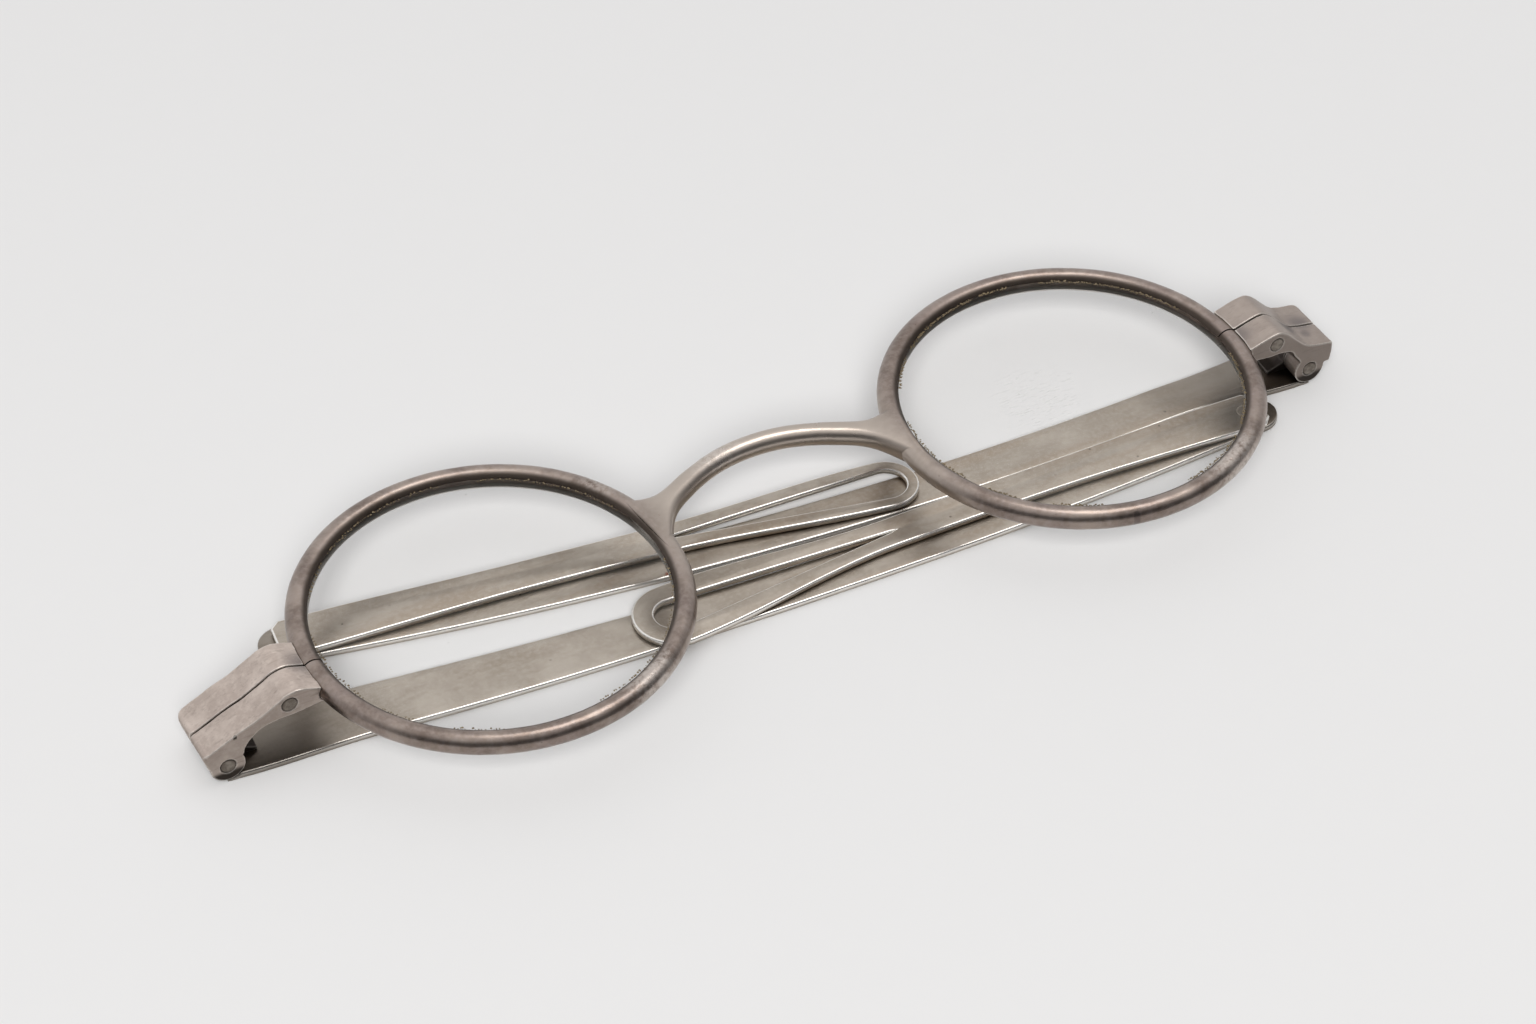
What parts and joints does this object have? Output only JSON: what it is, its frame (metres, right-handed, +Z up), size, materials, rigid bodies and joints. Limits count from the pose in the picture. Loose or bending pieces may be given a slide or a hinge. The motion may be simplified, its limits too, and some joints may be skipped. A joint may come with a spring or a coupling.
{
  "type": "folding spectacles",
  "caption": "Old silver spectacles with round lenses, an arched bridge and strip temples whose looped extensions turn on pins, lying folded flat.",
  "frame": {"origin": "middle of the whole width and depth, on the table under the folded spectacles", "axes": "+X from the left lens to the right one as seen in the picture, +Y away from the nose gap towards the brow, +Z up from the table, with the front uppermost and the temples under it"},
  "size_m": [0.1146, 0.0358, 0.0078],
  "materials": {
    "wire": "tarnished silver, worn bright on top",
    "strip": "mottled silver with bright edges",
    "end_piece": "tarnished silver, finely scratched",
    "pin": "dark tarnish",
    "lens": "clear, lightly marked"
  },
  "bodies": {
    "front": {"bridge": "wire", "left_rim": "wire", "left_lens": "lens", "left_upper_block": "end_piece", "left_lower_block": "end_piece", "left_block_pin": "pin", "left_hinge_pin": "pin", "right_rim": "wire", "right_lens": "lens", "right_upper_block": "end_piece", "right_lower_block": "end_piece", "right_block_pin": "pin", "right_hinge_pin": "pin"},
    "left_side": {"left_temple": "strip", "left_temple_knuckle": "end_piece", "left_turn_pin": "pin"},
    "left_tip": {"left_extension": "strip"},
    "right_side": {"right_temple": "strip", "right_temple_knuckle": "end_piece", "right_turn_pin": "pin"},
    "right_tip": {"right_extension": "strip"}
  },
  "joints": [
    {"name": "left_temple_hinge", "type": "hinge", "parent": "front", "child": "left_side", "pos_m": [-0.05495, 0, 0.00195], "axis": [0.0724, 0.9974, 0], "range_deg": [0, 90]},
    {"name": "left_extension_turn", "type": "hinge", "parent": "left_side", "child": "left_tip", "pos_m": [0.04646, -0.00487, 0.00071], "axis": [0, 0, 1], "range_deg": [0, 172]},
    {"name": "right_temple_hinge", "type": "hinge", "parent": "front", "child": "right_side", "pos_m": [0.05495, 0, 0.00195], "axis": [-0.0724, -0.9974, 0], "range_deg": [0, 90]},
    {"name": "right_extension_turn", "type": "hinge", "parent": "right_side", "child": "right_tip", "pos_m": [-0.04362, 0.00958, 0.00071], "axis": [0, 0, 1], "range_deg": [0, 188]}
  ]
}
